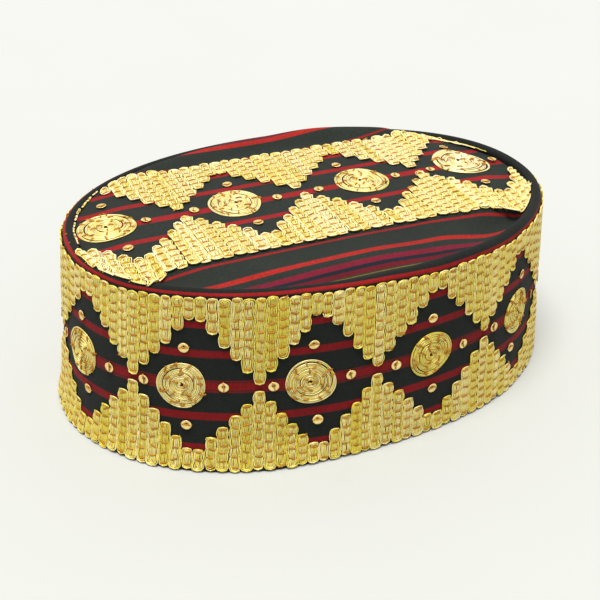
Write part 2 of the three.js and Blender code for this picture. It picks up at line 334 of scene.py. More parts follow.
def wall_cotton():
    """The wall's cloth, striped up its own grid so that the stripes follow the roll."""
    material, tree, shader = new_material("wall_cotton")
    grid = add_node(tree, "ShaderNodeUVMap", uv_map="cloth")
    parts = add_node(tree, "ShaderNodeSeparateXYZ", {"Vector": grid.outputs["UV"]})
    place = add_node(tree, "ShaderNodeTexCoord").outputs["Object"]
    colour = stripe_colours(tree, parts.outputs["Y"], WALL_STRIPES)
    cotton_finish(tree, shader, colour, parts.outputs["X"], parts.outputs["Y"], place)
    return material


def stripe_height(turn, height):
    """Height in the stripe table of a place on the cloth, once the rim's red is set where it lies."""
    start = round_value(RIM_PLACES, "red_from", turn)
    end = round_value(RIM_PLACES, "red_to", turn)
    cloth = [0, STRIPES_LEVEL_TO, start, end, end + RIM_RED_EASE, CLOTH_LENGTH]
    table = [0, STRIPES_LEVEL_TO, RIM_RED_FROM, RIM_RED_TO, RIM_RED_TO + RIM_RED_EASE, CLOTH_LENGTH]
    return np.interp(height, cloth, table)


def wall_mesh():
    """The section spun into a round ring, then every corner moved out to the oval."""
    section = wall_section()
    ring_radius = RIM_WIDTH / 2
    build = bmesh.new()
    along = build.verts.layers.float.new("along")
    corners = []
    length = 0
    for index, (out, z) in enumerate(section):
        if index:
            length += math.dist(section[index - 1], section[index])
        corner = build.verts.new((0, -(ring_radius + out), z))
        corner[along] = length
        corners.append(corner)
    edges = [build.edges.new(pair) for pair in zip(corners, corners[1:] + corners[:1])]
    bmesh.ops.spin(
        build, geom=corners + edges, cent=(0, 0, 0), axis=(0, 0, 1), angle=2 * math.pi,
        steps=TURN_STEPS, use_merge=True,
    )
    bmesh.ops.remove_doubles(build, verts=build.verts, dist=1e-7)
    bmesh.ops.recalc_face_normals(build, faces=build.faces)
    turns = {}
    for corner in build.verts:
        x, y, z = corner.co
        turns[corner] = (math.atan2(y, x) + math.pi / 2) / (2 * math.pi) % 1
        corner.co = wall_point(turns[corner], z, math.hypot(x, y) - ring_radius)
    grid = build.loops.layers.uv.new("cloth")
    for face in build.faces:
        face_turns = [turns[loop.vert] for loop in face.loops]
        face_along = [loop.vert[along] for loop in face.loops]
        for loop, turn, height in zip(face.loops, face_turns, face_along):
            if max(face_turns) - min(face_turns) > 0.5 and turn < 0.5:
                turn += 1
            if max(face_along) - min(face_along) > length / 2 and height < length / 2:
                height = length
            loop[grid].uv = (turn * MIDDLE_PERIMETER, stripe_height(turn, height))
    mesh = bpy.data.meshes.new("wall_cloth")
    build.to_mesh(mesh)
    build.free()
    return mesh


wall_cloth = link_object("wall_cloth", wall_mesh(), wall_cotton())
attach(wall_cloth, "root")
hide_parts("side_wall")

# Crown panel: the soft oval top, of the same cotton with its border stripes, sewn inside the roll.
# It lies about level with the roll and lifts a little behind. It falls to its seam all round and has
# a long fold along the front.

CROWN_THICKNESS = 0.0018
SEAM_GAP = 0.0004
CROWN_STATIONS = [
    {"along": -1.0, "front": 0.0, "seam": -0.0016, "fold": 0.0010, "lift": 0.0},
    {"along": -0.5, "front": 0.0, "seam": -0.0022, "fold": 0.0010, "lift": 0.0020},
    {"along": 0.0, "front": 0.0, "seam": -0.0024, "fold": 0.0004, "lift": 0.0027},
    {"along": 0.3, "front": -0.0003, "seam": -0.0030, "fold": 0.0015, "lift": 0.0041},
    {"along": 0.6, "front": -0.0008, "seam": -0.0038, "fold": 0.0036, "lift": 0.0036},
    {"along": 0.8, "front": -0.0019, "seam": -0.0045, "fold": 0.0027, "lift": 0.0},
    {"along": 1.0, "front": -0.0014, "seam": -0.0030, "fold": 0.0012, "lift": 0.0},
]
FRONT_LEVEL_FROM = 0.010
FRONT_LEVEL_TO = -0.030
EDGE_START = 0.8
EDGE_START_BACK = 0.955
SEAM_BACK = -0.0002
SEAM_BACK_FROM = 0.015
SEAM_BACK_TO = 0.056
LIFT_FROM = 0.014
LIFT_TO = 0.003
NARROWEST_FOLD = 0.001
CROWN_CENTRE = 0.0065
CROWN_EDGE = 0.042
CROWN_RINGS = 64

# Woven stripes of the top, by the distance to either side of their middle line
STRIPE_CENTRE = 0.00605
# The top's black is the same cotton as the wall's but about 1.7 times lighter: painted light from above.
TOP_LIT_BLACK = (0.0125, 0.0152, 0.0122, 1)
CROWN_RED = (0.185, 0.0062, 0.0070, 1)
EDGE_RED = (0.185, 0.0068, 0.0065, 1)
BRIGHT_RED = (0.235, 0.0095, 0.0062, 1)
PURPLE = (0.110, 0.0045, 0.0140, 1)
NAVY = (0.0068, 0.0076, 0.0127, 1)
CRIMSON = (0.080, 0.0028, 0.0070, 1)
OLIVE = (0.090, 0.0650, 0.0070, 1)
MIDDLE_STRIPES = [
    {"to": 0.0021, "colour": CROWN_RED},
    {"to": 0.0139, "colour": TOP_LIT_BLACK},
    {"to": 0.0171, "colour": CROWN_RED},
    {"to": 0.0282, "colour": TOP_LIT_BLACK},
    {"to": 0.0313, "colour": CROWN_RED},
]
FRONT_STRIPES = MIDDLE_STRIPES + [
    {"to": 0.0434, "colour": TOP_LIT_BLACK},
    {"to": 0.0446, "colour": EDGE_RED},
    {"to": 0.0548, "colour": TOP_LIT_BLACK},
    {"to": 0.0575, "colour": BRIGHT_RED},
    {"to": 0.0612, "colour": TOP_LIT_BLACK},
    {"to": 0.0641, "colour": PURPLE},
    {"to": 0.0663, "colour": NAVY},
    {"to": 0.0688, "colour": CRIMSON},
    {"to": 0.0694, "colour": TOP_LIT_BLACK},
    {"to": 0.0701, "colour": OLIVE},
    {"to": 0.0900, "colour": TOP_LIT_BLACK},
]
BACK_STRIPES = MIDDLE_STRIPES + [
    {"to": 0.0422, "colour": TOP_LIT_BLACK},
    {"to": 0.0430, "colour": EDGE_RED},
    {"to": 0.0526, "colour": TOP_LIT_BLACK},
    {"to": 0.0553, "colour": BRIGHT_RED},
    {"to": 0.0559, "colour": TOP_LIT_BLACK},
    {"to": 0.0900, "colour": PURPLE},
]

seam_inset = 2 * (ROLL_WIDTH + SEAM_GAP)
crown_oval = Oval(RIM_LENGTH - seam_inset, RIM_WIDTH - seam_inset)


def station_value(column, along):
    """A column of the station table, eased between the stations."""
    value = np.full(np.shape(along), CROWN_STATIONS[0][column])
    for before, after in zip(CROWN_STATIONS, CROWN_STATIONS[1:]):
        value = value + (after[column] - before[column]) * ease(along, before["along"], after["along"])
    return value


def crown_height(x, y):
    """Height of the top's upper face: the panel, its lift behind, its fold and its fall to the seam."""
    x = np.asarray(x, float)
    y = np.asarray(y, float)
    along = np.clip(x / crown_oval.half_length, -1, 1)
    half_width = crown_oval.half_width_at(x)
    back = ease(y, SEAM_BACK_FROM, SEAM_BACK_TO)
    front = ease(-y, -FRONT_LEVEL_FROM, -FRONT_LEVEL_TO)
    lift = ease(y - half_width, -LIFT_FROM, -LIFT_TO)
    panel = station_value("front", along) * front + station_value("lift", along) * lift
    edge_start = EDGE_START + (EDGE_START_BACK - EDGE_START) * back
    edge = ease(np.minimum(1, crown_oval.radius(x, y)), edge_start, 1)
    seam = station_value("seam", along) * (1 - back) + SEAM_BACK * back
    fold_start = CROWN_CENTRE - CROWN_EDGE
    fold_share = (fold_start - y) / np.maximum(NARROWEST_FOLD, half_width + fold_start)
    fold = np.sin(np.pi * np.clip(fold_share, 0, 1))
    return RIM_HEIGHT + panel * (1 - edge) + seam * edge - station_value("fold", along) * fold


def roll_height(x, y):
    """Height of the rolled edge, where a place lies over it."""
    share = np.clip((rim.inset(x, y) - ROLL_RADIUS) / ROLL_RADIUS, -1, 1)
    return RIM_HEIGHT - ROLL_RADIUS + ROLL_RADIUS * np.sqrt(1 - share * share)


def on_crown(x, y, up):
    """Places on the top or the roll, whichever is higher there, a distance up from the cloth."""
    x = np.asarray(x, float)
    y = np.asarray(y, float)
    return np.stack([x, y, np.maximum(crown_height(x, y), roll_height(x, y)) + up], axis=-1)


def crown_cotton():
    """The top's cloth, with different border stripes in front of the middle line and behind it."""
    material, tree, shader = new_material("crown_cotton")
    place = add_node(tree, "ShaderNodeTexCoord").outputs["Object"]
    parts = add_node(tree, "ShaderNodeSeparateXYZ", {"Vector": place})
    offset = math_node(tree, "SUBTRACT", parts.outputs["Y"], STRIPE_CENTRE)
    distance = math_node(tree, "ABSOLUTE", offset)
    behind = math_node(tree, "GREATER_THAN", offset, 0)
    front_colour = stripe_colours(tree, distance, FRONT_STRIPES)
    back_colour = stripe_colours(tree, distance, BACK_STRIPES)
    colour = mix_colours(tree, behind, front_colour, back_colour)
    cotton_finish(tree, shader, colour, parts.outputs["X"], parts.outputs["Y"], place)
    return material


def crown_mesh():
    """A spoke spun into a disc, then every corner moved to the oval and to the height of the top."""
    build = bmesh.new()
    spoke = [build.verts.new((0, -step / CROWN_RINGS, 0)) for step in range(CROWN_RINGS + 1)]
    edges = [build.edges.new(pair) for pair in zip(spoke, spoke[1:])]
    bmesh.ops.spin(
        build, geom=spoke + edges, cent=(0, 0, 0), axis=(0, 0, 1), angle=2 * math.pi,
        steps=TURN_STEPS, use_merge=True,
    )
    bmesh.ops.remove_doubles(build, verts=build.verts, dist=1e-6)
    bmesh.ops.recalc_face_normals(build, faces=build.faces)
    for corner in build.verts:
        x, y, _ = corner.co
        turn = (math.atan2(y, x) + math.pi / 2) / (2 * math.pi)
        share = math.hypot(x, y)
        edge_x, edge_y = crown_oval.point(turn)
        place = (share * edge_x, share * edge_y)
        corner.co = (*place, crown_height(*place))
    mesh = bpy.data.meshes.new("crown_cloth")
    build.to_mesh(mesh)
    build.free()
    if mesh.polygons[0].normal.z < 0:
        mesh.flip_normals()
    return mesh


crown_cloth = link_object("crown_cloth", crown_mesh(), crown_cotton())
crown_body = crown_cloth.modifiers.new("cloth_body", "SOLIDIFY")
crown_body.thickness = CROWN_THICKNESS
crown_body.offset = -1
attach(crown_cloth, "root")
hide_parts("crown_panel")

# Gold fields: metal-wrapped thread laid in columns, each a nest of long loops turned at both ends.
# The columns step up to points, and couching stitches from below hold them to the cloth.

THREAD_RADIUS = 0.00025
THREAD_SIDES = 4
LAY_HEIGHT = 0.00034
COLUMN_DOME = 0.00016
TURN_POINTS = 4
STITCH_PITCH = 0.0041
END_GAP = 0.0016
COLUMNS_PER_REPEAT = 11
STEPS_TO_TIP = 5
WALL_LOW_EDGE = 0.0009
WALL_LOW_VALLEY = 0.0097
WALL_TOP_VALLEY = 0.0672
WALL_STEP = 0.00545
WALL_REPEATS = 12
FRONT_REPEATS = [
    {"rosette": -0.131, "tip": -0.103},
    {"rosette": -0.083, "tip": -0.053},
    {"rosette": -0.033, "tip": -0.005},
    {"rosette": 0.020, "tip": 0.049},
    {"rosette": 0.073, "tip": 0.098},
]
CROWN_TIPS = [-0.108, -0.0568, -0.0024, 0.0553, 0.110]
CROWN_VALLEY = 0.0291
CROWN_STEP = 0.00527
CROWN_GOLD_ENDS = {-1: 0.0431, 1: 0.0408}
ROLL_COVERED = 0.0003
SHORTEST_COLUMN = 0.0046
STEEPEST_SLANT = 2.2
NEAR_ENDS = 0.070
NEAR_ENDS_ROUND = 0.3
FRONT_SPAN = (-0.1007, 0.0980)
BACK_SPAN = (-0.1007, 0.1007)

# Runs of the way from the middle to an end, over which the top's columns grow past their edge line and
# over the roll, or stop short of it
LEFT_OVER_ROLL = (0.050, 0.066)
RIGHT_OVER_ROLL = (0.060, 0.080)
RIGHT_ROLL_SHARE = 0.12
LEFT_GROWTH = (0.076, 0.090)
RIGHT_GROWTH = (0.068, 0.082)
END_GROWTH = 0.010
BACK_TRIM_RUN = (0.045, 0.060)
BACK_TRIM = 0.0022

# Two leaves of thread at the tips of the front field, tilted along the seam
END_LEAVES = [
    {"middle": -0.1023, "width": 0.0034, "low": -0.0225, "high": -0.0070, "tilt": -0.25},
    {"middle": 0.0966, "width": 0.0032, "low": -0.0250, "high": -0.0045, "tilt": 0.20},
]
GOLD_PALE = (0.89, 0.79, 0.53, 1)
GOLD_DEEP = (0.62, 0.482, 0.004, 1)

# How the columns are laid: their fill of the pitch, waist at a stitch, swell between and round of the ends
WALL_LAY = {"fill": 1.16, "pinch": 0.19, "swell": 0.00055, "end_round": 0.55, "loops": 5, "steps": 3}
CROWN_LAY = {"fill": 1.18, "pinch": 0.24, "swell": 0.00085, "end_round": 0.60, "loops": 5, "steps": 4}

# How unevenly the hand lays the thread: spreads of a column and of its loops
HAND_TOP = 0.0002
HAND_LEAN = 0.00012
HAND_ENDS = 0.0003
LOOP_ENDS = 0.00012
LOOP_WIDTH = 0.02
LOOP_SWAY = 0.00010
LOOP_RISE = 0.00006
SWAY_LENGTHS = (0.006, 0.012)
ANY_PHASE = 6.3
CLEAR_OF_TURN = 0.3
OUTWARD_PROBE = 0.001

hand = np.random.default_rng(11)


def places_round(column):
    """The front's places as measured, and the rest of the way round in even steps."""
    front = [repeat[column] for repeat in FRONT_REPEATS]
    hidden = WALL_REPEATS - len(front)
    pitch = (front[0] + MIDDLE_PERIMETER - front[-1]) / (hidden + 1)
    return front + [front[-1] + (index + 1) * pitch for index in range(hidden)]


def columns_between(tips):
    """Where the columns begin and how many steps each climbs, from the places of the tips."""
    lines = []
    reaches = []
    for tip, following in zip(tips, tips[1:]):
        for column in range(COLUMNS_PER_REPEAT):
            lines.append(tip + (column + 0.5) * (following - tip) / COLUMNS_PER_REPEAT)
            from_tip = min(column + 1, COLUMNS_PER_REPEAT - column - 1)
            reaches.append(max(0, STEPS_TO_TIP - from_tip))
    return np.array(lines), np.array(reaches)


def wall_columns(side):
    """Columns of the wall's lower field, side -1, or its upper one, side +1."""
    tips = places_round("tip")
    lines, reaches = columns_between(tips + [tips[0] + MIDDLE_PERIMETER])
    ends = np.append(lines[1:], lines[0] + MIDDLE_PERIMETER)
    columns = []
    for start, end, reach in zip(lines, ends, reaches):
        if side < 0:
            low, high = WALL_LOW_EDGE, WALL_LOW_VALLEY + reach * WALL_STEP
        else:
            top = round_value(RIM_PLACES, "gold", (start + end) / 2 / MIDDLE_PERIMETER)
            low, high = WALL_TOP_VALLEY - reach * WALL_STEP, top + hand.normal(0, HAND_TOP)
        columns.append({"middle": (start + end) / 2, "width": end - start, "low": low, "high": high})
    return columns


covered_oval = Oval(RIM_LENGTH - 2 * ROLL_COVERED, RIM_WIDTH - 2 * ROLL_COVERED)


def crown_columns(side):
    """Columns of the top's front field, side -1, or its back one, side +1, trimmed to the oval."""
    lines, reaches = columns_between(CROWN_TIPS)

    def outer_end(x):
        room = crown_oval.half_width_at(x)
        limit = CROWN_GOLD_ENDS[side]
        if side < 0:
            over_roll = ease(-x, *LEFT_OVER_ROLL) + RIGHT_ROLL_SHARE * ease(x, *RIGHT_OVER_ROLL)
            room = room + over_roll * (covered_oval.half_width_at(x) - room)
            limit = limit + END_GROWTH * (ease(-x, *LEFT_GROWTH) + ease(x, *RIGHT_GROWTH))
        else:
            limit = limit - BACK_TRIM * ease(x, *BACK_TRIM_RUN)
        return min(limit, room - side * CROWN_CENTRE)

    span = FRONT_SPAN if side < 0 else BACK_SPAN
    columns = []
    for start, end, reach in zip(lines, lines[1:], reaches):
        middle = (start + end) / 2
        inner = CROWN_VALLEY - reach * CROWN_STEP
        outer = outer_end(middle)
        if outer - inner > SHORTEST_COLUMN and span[0] < middle < span[1]:
            ends = sorted([CROWN_CENTRE + side * inner, CROWN_CENTRE + side * outer])
            column = {"middle": middle, "width": end - start, "low": ends[0], "high": ends[1]}
            slant = side * (outer_end(end) - outer_end(start)) / (end - start)
            steepest = min(STEEPEST_SLANT, (outer - inner) / (end - start))
            column["slant"] = np.clip(slant, -steepest, steepest)
            column["slant_from"] = CROWN_CENTRE + side * inner
            if side < 0 and abs(middle) > NEAR_ENDS:
                column["end_round"] = NEAR_ENDS_ROUND
            columns.append(column)
    return columns + END_LEAVES if side < 0 else columns


def lay_height(sideways, width):
    """How high a laid thread rides under a stitch, a little higher mid-column."""
    return LAY_HEIGHT + COLUMN_DOME * (1 - np.clip(2 * sideways / width, -1, 1) ** 2)


def thread_path(place, across, along, rise):
    """A thread's points on the cloth, and the outward direction at each."""
    points = place(across, along, rise)
    return points, place(across, along, rise + OUTWARD_PROBE) - points


def stitch_places(column, index, base):
    """Where a column is stitched: even steps from its base, -1 low or +1 high, set like bricks."""
    length = column["high"] - column["low"]
    base_gap = END_GAP + STITCH_PITCH / 2 * (index % 2)
    count = round((length - base_gap - END_GAP) / STITCH_PITCH)
    steps = np.linspace(base_gap, length - END_GAP, count + 1) if count > 0 else np.array([length / 2])
    return column["low"] + steps if base < 0 else column["high"] - steps[::-1]


def column_loops(column, place, lay):
    """The nested loops of one column, each as a thread's path."""
    width = column["width"] * lay["fill"]
    spacing = width / (2 * lay["loops"])
    stitches = column["stitches"]
    pitch = stitches[1] - stitches[0] if len(stitches) > 1 else STITCH_PITCH
    lean = hand.normal(0, HAND_LEAN)
    length = column["high"] - column["low"]
    low_round = column.get("end_round", lay["end_round"])
    low_end = column["low"] + low_round * width / 2 + hand.normal(0, HAND_ENDS)
    high_end = column["high"] - lay["end_round"] * width / 2 + hand.normal(0, HAND_ENDS)
    loops = []
    for nest in range(lay["loops"]):
        half = spacing * (nest + 0.5) * (1 + hand.normal(0, LOOP_WIDTH))
        low = low_end + hand.normal(0, LOOP_ENDS)
        high = high_end + hand.normal(0, LOOP_ENDS)
        if high - low < spacing:
            middle = (low + high) / 2
            low, high = middle - spacing / 2, middle + spacing / 2
        step = pitch / lay["steps"]
        first = math.ceil((low - stitches[0]) / step + CLEAR_OF_TURN)
        last = math.floor((high - stitches[0]) / step - CLEAR_OF_TURN)
        between = stitches[0] + step * np.arange(first, last + 1)
        straight = np.concatenate([[low], between, [high]])
        bend = np.linspace(0, np.pi, TURN_POINTS + 1)[1:-1]
        level = np.full(len(straight), half)
        sideways = np.concatenate([level, half * np.cos(bend), -level, -half * np.cos(bend)])
        turned = half * np.sin(bend)
        high_turn = high + lay["end_round"] * turned
        along = np.concatenate([straight, high_turn, straight[::-1], low - low_round * turned])
        nearest = np.min(np.abs(along[:, None] - stitches[None, :]), axis=1)
        held = 0.5 + 0.5 * np.cos(2 * np.pi * np.minimum(nearest / pitch, 0.5))
        sideways = sideways * (1 - lay["pinch"] * held)
        wave = 2 * np.pi * along / hand.uniform(*SWAY_LENGTHS) + hand.uniform(0, ANY_PHASE)
        sway = hand.normal(0, LOOP_SWAY) * np.sin(wave)
        rise = lay_height(sideways, width) + lay["swell"] * (1 - held) + hand.normal(0, LOOP_RISE)
        if "slant" in column:
            along = along + column["slant"] * sideways * np.abs(along - column["slant_from"]) / length
        across = column["middle"] + sideways + sway + lean
        across = across + column.get("tilt", 0) * (along - column["low"] - length / 2)
        loops.append(thread_path(place, across, along, rise))
    return loops


def tube_mesh(name, paths, radius, closed, flatten=1.0, shade_and_tarnish=0.0):
    """One mesh of many thin tubes, with a tint of its own on each, from pale 0 to deep 1."""
    sides = THREAD_SIDES
    corners = []
    faces = []
    tints = []
    first = 0
    angle = 2 * np.pi * (np.arange(sides) + 0.5) / sides
    for points, outward in paths:
        count = len(points)
        if closed:
            ahead = np.roll(points, -1, axis=0) - np.roll(points, 1, axis=0)
        else:
            ahead = np.gradient(points, axis=0)
        beside = np.cross(ahead, outward)
        beside /= np.linalg.norm(beside, axis=1, keepdims=True)
        above = np.cross(beside, ahead)
        above /= np.linalg.norm(above, axis=1, keepdims=True)
        ring = np.cos(angle)[None, :, None] * beside[:, None, :]
        ring = ring + flatten * np.sin(angle)[None, :, None] * above[:, None, :]
        corners.append((points[:, None, :] + radius * ring).reshape(-1, 3))
        rows = np.arange(count if closed else count - 1)[:, None]
        turn = np.arange(sides)[None, :]
        following = (rows + 1) % count
        around = (turn + 1) % sides
        near = [rows * sides + turn, rows * sides + around]
        far = [following * sides + turn, following * sides + around]
        quads = np.stack([near[0], far[0], far[1], near[1]], axis=-1)
        faces.extend((first + quads.reshape(-1, 4)).tolist())
        if not closed:
            last = first + (count - 1) * sides
            faces.append([first + side for side in range(sides)])
            faces.append([last + side for side in reversed(range(sides))])
        # Each tube's tint is a random tone plus an offset for the whole mesh; the gold's offset is painted
        # shade on the wall and painted light on the top.
        tints.append(np.full(count * sides, hand.uniform() + shade_and_tarnish))
        first += count * sides
    mesh = bpy.data.meshes.new(name)
    mesh.from_pydata(np.concatenate(corners).tolist(), [], faces)
    tint = mesh.attributes.new("tint", "FLOAT", "POINT")
    tint.data.foreach_set("value", np.concatenate(tints).astype(np.float32))
    return mesh


def gold_thread():
    """Metal strip wound on a core: bright, softly broken reflections, tarnished here and there, with
    painted glints from its winding and painted shade in the wall's tint.
    """
    material, tree, shader = new_material("gold_thread")
    place = add_node(tree, "ShaderNodeTexCoord").outputs["Object"]
    tint = add_node(tree, "ShaderNodeAttribute", attribute_name="tint").outputs["Fac"]
    winding_and_glints = add_node(tree, "ShaderNodeTexNoise", {"Vector": place, "Scale": 2600, "Detail": 2})
    # Large, random patches of deeper tone: tarnish.
    shade_and_tarnish = add_node(tree, "ShaderNodeTexNoise", {"Vector": place, "Scale": 60, "Detail": 3})
    # The fine winding noise sets the colour partly as the strip's winding and partly as painted glints and
    # painted shade between them.
    depth = math_node(tree, "MULTIPLY_ADD", winding_and_glints.outputs["Fac"], 1.8, -0.9)
    depth = math_node(tree, "MULTIPLY_ADD", tint, 0.6, depth)
    depth = math_node(tree, "MULTIPLY_ADD", shade_and_tarnish.outputs["Fac"], 0.3, depth)
    share = add_node(tree, "ShaderNodeMapRange", {"Value": depth, "From Min": 0.0, "From Max": 0.9})
    colour = mix_colours(tree, share.outputs[0], GOLD_PALE, GOLD_DEEP)
    bump = add_node(
        tree, "ShaderNodeBump", {"Height": winding_and_glints.outputs["Fac"], "Strength": 0.5, "Distance": 0.0002}
    )
    rough = add_node(
        tree, "ShaderNodeMapRange", {"Value": winding_and_glints.outputs["Fac"], "To Min": 0.24, "To Max": 0.48}
    )
    tree.links.new(colour, shader.inputs["Base Color"])
    tree.links.new(rough.outputs[0], shader.inputs["Roughness"])
    tree.links.new(bump.outputs["Normal"], shader.inputs["Normal"])
    shader.inputs["Metallic"].default_value = 0.2
    shader.inputs["Specular IOR Level"].default_value = 0.9
    shader.inputs["Coat Weight"].default_value = 0.6
    shader.inputs["Coat Roughness"].default_value = 0.25
    return material


gold = gold_thread()
# One and the same gold thread is tinted deeper on the wall and paler on the top: painted shade on the
# wall, painted light on the top.
on_the_wall = {"place": on_wall, "lay": WALL_LAY, "shade_and_tarnish": 0.58}
on_the_top = {"place": on_crown, "lay": CROWN_LAY, "shade_and_tarnish": 0.15}
gold_fields = [
    {"node": "wall_gold_lower", "columns": wall_columns(-1), "base": -1, **on_the_wall},
    {"node": "wall_gold_upper", "columns": wall_columns(1), "base": 1, **on_the_wall},
    {"node": "crown_gold_front", "columns": crown_columns(-1), "base": -1, **on_the_top},
    {"node": "crown_gold_back", "columns": crown_columns(1), "base": 1, **on_the_top},
]
for field in gold_fields:
    loops = []
    for index, column in enumerate(field["columns"]):
        column["stitches"] = stitch_places(column, index, field["base"])
        loops += column_loops(column, field["place"], field["lay"])
    mesh = tube_mesh(field["node"], loops, THREAD_RADIUS, True, shade_and_tarnish=field["shade_and_tarnish"])
    threads = link_object(field["node"] + "_threads", mesh, gold)
    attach(threads, "root")
    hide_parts(field["node"])

# Couching stitches: short lengths of amber cotton that cross each column and go back down.
# They are set like bricks, half a pitch apart in neighbouring columns.

STITCH_RADIUS = 0.00048
STITCH_FLATTEN = 0.6
STITCH_POINTS = 6
STITCH_REACH = 0.33
STITCH_DIP = 0.0004
STITCH_WIDTH_SPREAD = 0.08
STITCH_PLACE_SPREAD = 0.0003
STITCH_SLANT_SPREAD = 0.00045
AMBER_PALE = (0.46, 0.215, 0.020, 1)
AMBER_DEEP = (0.25, 0.095, 0.005, 1)


def amber_cotton():
    """Matt twisted cotton, unevenly dyed."""
    material, tree, shader = new_material("amber_cotton")
    place = add_node(tree, "ShaderNodeTexCoord").outputs["Object"]
    tint = add_node(tree, "ShaderNodeAttribute", attribute_name="tint").outputs["Fac"]
    fibre = add_node(tree, "ShaderNodeTexNoise", {"Vector": place, "Scale": 1800, "Detail": 3})
    uneven = math_node(tree, "MULTIPLY", fibre.outputs["Fac"], 0.5)
    share = math_node(tree, "MULTIPLY_ADD", tint, 0.6, uneven)
    colour = mix_colours(tree, share, AMBER_PALE, AMBER_DEEP)
    bump = add_node(
        tree, "ShaderNodeBump", {"Height": fibre.outputs["Fac"], "Strength": 0.6, "Distance": 0.0002}
    )
    tree.links.new(colour, shader.inputs["Base Color"])
    tree.links.new(bump.outputs["Normal"], shader.inputs["Normal"])
    shader.inputs["Roughness"].default_value = 0.75
    shader.inputs["Specular IOR Level"].default_value = 0.2
    return material


amber = amber_cotton()


def stitch_path(across, along, half, slant, width, place):
    """A stitch over the threads: up out of the cloth, across and down again."""
    share = np.linspace(-1, 1, STITCH_POINTS)
    sideways = half * share
    rise = lay_height(sideways, width) + THREAD_RADIUS + STITCH_FLATTEN * STITCH_RADIUS / 2
    rise = rise - STITCH_DIP * share**6
    return thread_path(place, across + sideways, along + slant * share, rise)


def field_stitches(field):
    """Every stitch of a gold field, each a little out of place."""
    paths = []
    for column in field["columns"]:
        for along in column["stitches"]:
            half = column["width"] * STITCH_REACH * (1 + hand.normal(0, STITCH_WIDTH_SPREAD))
            spot = along + hand.normal(0, STITCH_PLACE_SPREAD)
            across = column["middle"] + hand.normal(0, STITCH_PLACE_SPREAD)
            across = across + column.get("tilt", 0) * (spot - (column["low"] + column["high"]) / 2)
            slant = hand.normal(0, STITCH_SLANT_SPREAD)
            paths.append(stitch_path(across, spot, half, slant, column["width"], field["place"]))
    return paths


for where, fields in (("wall", gold_fields[:2]), ("crown", gold_fields[2:])):
    paths = [path for field in fields for path in field_stitches(field)]
    mesh = tube_mesh(where + "_couching", paths, STITCH_RADIUS, False, STITCH_FLATTEN)
    stitches = link_object(where + "_couching", mesh, amber)
    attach(stitches, "root")

# Rosettes: one gold thread coiled flat from the middle out, couched here and there across its turns.
# Twelve sit on the middle stripe of the wall and four on the middle stripe of the top.

WALL_ROSETTE_RADIUS = 0.0106
WALL_ROSETTE_HEIGHT = 0.0386
CROWN_ROSETTES = [
    {"x": -0.0885, "y": 0.0079, "radius": 0.0124},
    {"x": -0.0325, "y": 0.0070, "radius": 0.0124},
    {"x": 0.0273, "y": 0.0067, "radius": 0.0124},
    {"x": 0.0794, "y": 0.0085, "radius": 0.0138},
]
COIL_PITCH = 0.00098
COIL_THREAD_RADIUS = 0.00025
COIL_PAIR = 0.00025
COIL_STEP = 0.0009
COIL_RISE = 0.00036
COIL_DOME = 0.00022
COIL_EYE = 0.006
COIL_TAIL = 0.0008
COIL_TAIL_RUN = 1.4

# How far the coil's outline strays from round, and how its turns drift and ripple along the thread
COIL_OVAL = (0.02, 0.06)
COIL_THREE_SIDED = 0.018
COIL_DRIFTS = [
    {"size": 0.012, "rate": 0.37},
    {"size": 0.016, "rate": 0.83},
    {"size": 0.010, "rate": 1.31},
]
SLOW_RIPPLE = {"size": 0.00012, "rate": 1.7}
QUICK_RIPPLE = {"size": 0.00009, "rate": 4.3}

# Stitches of a coil, each a turn further round and further out than the one before
COIL_STITCHES = 28
COIL_STITCH_START = 0.7
COIL_STITCH_TURN = 2.4
COIL_STITCH_SPREAD = 0.25
COIL_STITCH_SKEW = 0.7
COIL_STITCH_HALVES = (0.0009, 0.0015)
COIL_STITCH_INSET = 0.0016
COIL_STITCH_LIFT = 0.0002
COIL_STITCH_DIP = 0.00035
COIL_STITCH_RADIUS = STITCH_RADIUS * 0.85
COIL_STITCH_FLATTEN = 0.75


